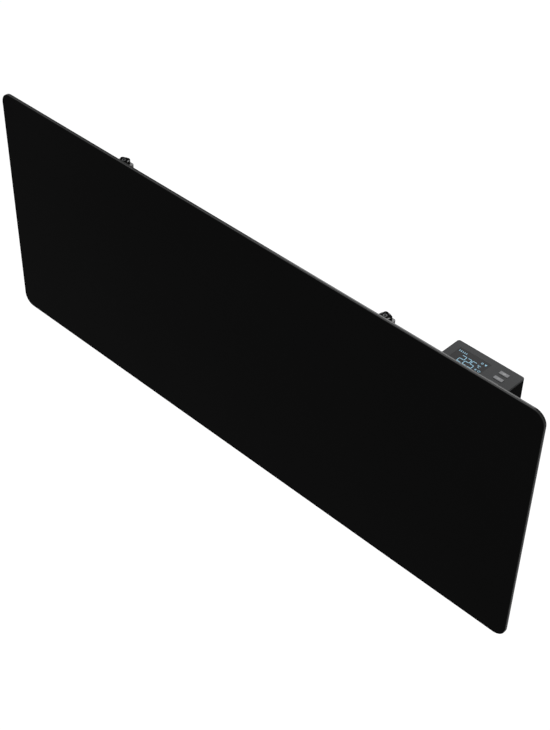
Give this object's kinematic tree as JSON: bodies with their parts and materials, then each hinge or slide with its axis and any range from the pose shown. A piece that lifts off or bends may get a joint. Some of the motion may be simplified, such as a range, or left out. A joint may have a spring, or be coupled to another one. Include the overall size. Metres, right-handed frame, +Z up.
{
  "type": "infrared panel heater",
  "caption": "Wall-hung infrared heater: frameless black glass panel on rear rails, clamping knobs on top, and a rear control box with a display and keys.",
  "frame": {"origin": "on the wall plane, in the middle of the four wall screw holes", "axes": "+X to the heater's right end seen from the room, +Y into the wall, +Z up"},
  "size_m": [1, 0.06, 0.4],
  "materials": {
    "front_pane": "polished black toughened glass",
    "rear_pane": "dark tinted glass with a ground edge",
    "film": "carbon film",
    "copper": "copper foil",
    "sealant": "black sealing resin",
    "rail_steel": "grey powder coat",
    "hook_steel": "grey powder coat",
    "adhesive": "black silicone adhesive",
    "spacer_plastic": "black moulded nylon",
    "bumper_rubber": "soft black rubber",
    "bright_steel": "zinc plated steel",
    "knob_plastic": "black moulded plastic",
    "bush_plastic": "natural nylon",
    "jaw_steel": "zinc plated steel",
    "housing_plastic": "fine spark-eroded black plastic",
    "fascia_plastic": "fine spark-eroded dark grey plastic",
    "base_plastic": "black moulded plastic",
    "window_acrylic": "smoked acrylic",
    "display_glass": "display glass",
    "board_laminate": "green board lacquer",
    "switch_plastic": "black plastic",
    "key_plastic": "light grey moulded plastic",
    "core_steel": "varnished laminations",
    "relay_plastic": "blue moulded plastic",
    "capacitor_film": "yellow moulded plastic",
    "fuse_glass": "clear glass tube",
    "terminal_plastic": "green moulded plastic",
    "lead_insulation": "silicone insulation",
    "gland_nylon": "black nylon",
    "switch_frame": "black glossy plastic",
    "blade_metal": "tinned brass"
  },
  "bodies": {
    "root": {"front_glass": "front_pane", "rear_glass": "rear_pane", "heating_film": "film", "busbar_upper": "copper", "busbar_lower": "copper", "edge_seal": "sealant", "hanging_rail_left": "rail_steel", "rail_bond_left": "adhesive", "wall_hook_left": "hook_steel", "lower_spacer_left": "spacer_plastic", "bumper_left": "bumper_rubber", "spindle_bush_left": "bush_plastic", "hanging_rail_right": "rail_steel", "rail_bond_right": "adhesive", "wall_hook_right": "hook_steel", "lower_spacer_right": "spacer_plastic", "bumper_right": "bumper_rubber", "spindle_bush_right": "bush_plastic", "spacer_screws": "bright_steel", "cover_screws": "bright_steel", "board_screws": "bright_steel", "control_base": "base_plastic", "base_bond": "adhesive", "control_cover": "housing_plastic", "control_fascia": "fascia_plastic", "display_window": "window_acrylic", "display_module": "display_glass", "display_board": "board_laminate", "power_board": "board_laminate", "key_switches": "switch_plastic", "transformer": "core_steel", "relay": "relay_plastic", "capacitors": "capacitor_film", "fuse_holder": "switch_plastic", "fuse": "fuse_glass", "terminal_block": "terminal_plastic", "thermal_cutout": "bright_steel", "room_sensor": "switch_plastic", "film_leads": "lead_insulation", "gland_body": "gland_nylon", "gland_locknut": "gland_nylon", "gland_cap": "gland_nylon", "gland_seal": "bumper_rubber", "rocker_frame": "switch_frame", "switch_blades": "blade_metal"},
    "knob_left": {"clamp_knob_left": "knob_plastic", "clamp_spindle_left": "bright_steel", "spindle_clip_left": "bright_steel"},
    "knob_right": {"clamp_knob_right": "knob_plastic", "clamp_spindle_right": "bright_steel", "spindle_clip_right": "bright_steel"},
    "jaw_left": {"clamp_jaw_left": "jaw_steel"},
    "jaw_right": {"clamp_jaw_right": "jaw_steel"},
    "key_power": {"key_power": "key_plastic"},
    "key_up": {"key_up": "key_plastic"},
    "key_down": {"key_down": "key_plastic"},
    "rocker": {"rocker": "switch_frame"}
  },
  "joints": [
    {"name": "knob_left_turn", "type": "hinge", "parent": "root", "child": "knob_left", "pos_m": [-0.244, -0.0425, 0.0746], "axis": [0, 0, 1], "range_deg": [0, 2791]},
    {"name": "jaw_left_travel", "type": "slide", "parent": "root", "child": "jaw_left", "axis": [0, 0, -1], "range_m": [0, 0.0062]},
    {"name": "knob_right_turn", "type": "hinge", "parent": "root", "child": "knob_right", "pos_m": [0.244, -0.0425, 0.0746], "axis": [0, 0, 1], "range_deg": [0, 2791]},
    {"name": "jaw_right_travel", "type": "slide", "parent": "root", "child": "jaw_right", "axis": [0, 0, -1], "range_m": [0, 0.0062]},
    {"name": "key_power_press", "type": "slide", "parent": "root", "child": "key_power", "axis": [0, 0, -1], "range_m": [0, 0.0006], "stiffness_N_per_m": 400},
    {"name": "key_up_press", "type": "slide", "parent": "root", "child": "key_up", "axis": [0, 0, -1], "range_m": [0, 0.0006], "stiffness_N_per_m": 400},
    {"name": "key_down_press", "type": "slide", "parent": "root", "child": "key_down", "axis": [0, 0, -1], "range_m": [0, 0.0006], "stiffness_N_per_m": 400},
    {"name": "rocker_tilt", "type": "hinge", "parent": "root", "child": "rocker", "pos_m": [0.402, -0.02725, -0.059], "axis": [0, 1, 0], "range_deg": [0, 20]}
  ],
  "couplings": [
    {"joint": "knob_left_turn", "follows": "jaw_left_travel", "rad_per_m": 7854},
    {"joint": "knob_right_turn", "follows": "jaw_right_travel", "rad_per_m": 7854}
  ]
}
